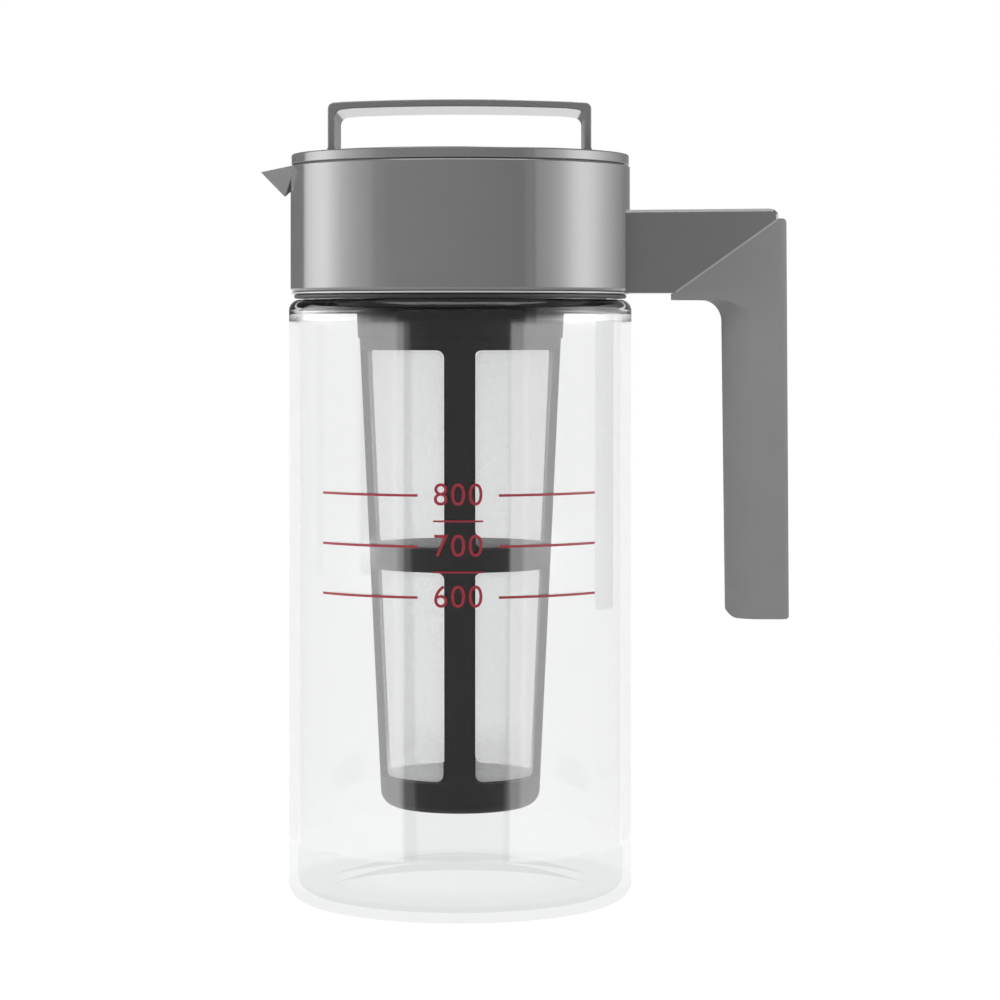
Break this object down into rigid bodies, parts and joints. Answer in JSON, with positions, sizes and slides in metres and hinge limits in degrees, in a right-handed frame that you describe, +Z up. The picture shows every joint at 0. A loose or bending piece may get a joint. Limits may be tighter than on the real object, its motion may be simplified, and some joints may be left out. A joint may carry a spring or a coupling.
{
  "type": "cold brew coffee maker",
  "caption": "Clear cylindrical cold brew jug with a gasketed collar, V spout, side handle and soft grip, twist lid with a strap handle, and a tapered mesh filter hung from the lid.",
  "frame": {"origin": "on the surface the jug stands on, under the middle of the whole maker's bounding box; the jug's own axis is at x = -18.35 mm", "axes": "+Z up along the jug's axis, +X towards the side handle, so the spout points to -X and the picture looks along +Y"},
  "size_m": [0.1536, 0.1, 0.2313],
  "materials": {
    "clear_plastic": "gloss",
    "gloss_grey": "gloss",
    "soft_grey": "matte",
    "inner_grey": "satin",
    "dark_plastic": "satin",
    "dark_rubber": "matte",
    "filter_mesh": "matte",
    "scale_print": "satin"
  },
  "bodies": {
    "jug": {"jug_body": "clear_plastic", "neck_gasket": "dark_rubber", "neck_ring": "inner_grey", "collar_shell": "gloss_grey", "handle_arm": "gloss_grey", "handle_grip": "soft_grey"},
    "lid_seal": {"lid_gasket": "dark_rubber"},
    "lid": {"lid_cover": "gloss_grey", "lid_plug": "inner_grey", "lid_handle": "gloss_grey"},
    "filter_top": {"filter_ring": "dark_plastic"},
    "filter": {"filter_cage": "dark_plastic", "mesh_upper_1": "filter_mesh", "mesh_upper_2": "filter_mesh", "mesh_upper_3": "filter_mesh", "mesh_upper_4": "filter_mesh", "mesh_lower_1": "filter_mesh", "mesh_lower_2": "filter_mesh", "mesh_lower_3": "filter_mesh", "mesh_lower_4": "filter_mesh"}
  },
  "joints": [
    {"name": "lid_lift", "type": "slide", "parent": "jug", "child": "lid_seal", "axis": [0, 0, 1], "range_m": [0, 0.2]},
    {"name": "lid_twist", "type": "hinge", "parent": "lid_seal", "child": "lid", "pos_m": [-0.01835, 0, 0.2], "axis": [0, 0, 1], "range_deg": [0, 84]},
    {"name": "filter_drop", "type": "slide", "parent": "lid", "child": "filter_top", "axis": [0, 0, 1], "range_m": [-0.015, 0]},
    {"name": "filter_twist", "type": "hinge", "parent": "filter_top", "child": "filter", "pos_m": [-0.01835, 0, 0.16], "axis": [0, 0, 1], "range_deg": [0, 90]}
  ]
}
